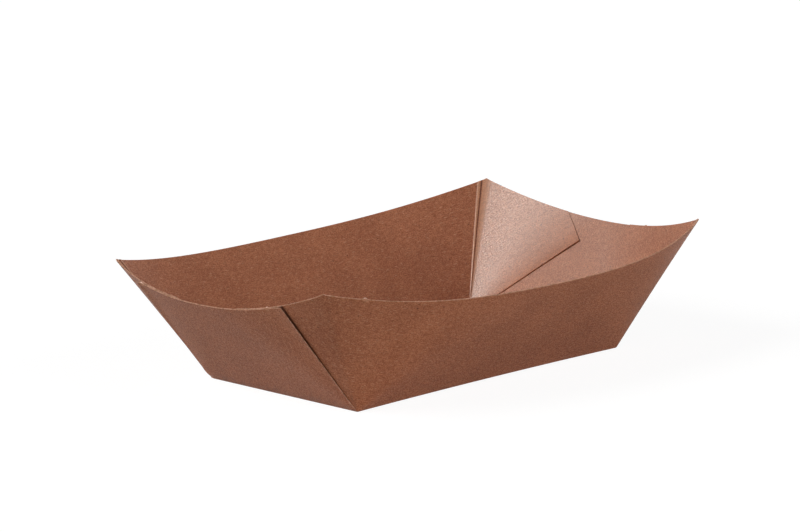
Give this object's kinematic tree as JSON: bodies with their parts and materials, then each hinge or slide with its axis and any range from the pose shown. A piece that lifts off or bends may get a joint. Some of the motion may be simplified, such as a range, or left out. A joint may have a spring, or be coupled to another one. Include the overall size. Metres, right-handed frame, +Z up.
{
  "type": "paper food tray",
  "caption": "Open kraft board food tray folded from one sheet, with flared bowed walls and end panels glued over corner flaps",
  "frame": {"origin": "middle of the flat base, on the surface that the tray stands on", "axes": "+X along the tray towards one end panel, +Y across it towards one long wall, +Z up"},
  "size_m": [0.2028, 0.157, 0.0511],
  "materials": {
    "kraft_board": "uncoated brown kraft board, matt with a faint sheen at low angles"
  },
  "bodies": {
    "root": {"paper_tray": "kraft_board"}
  },
  "joints": []
}
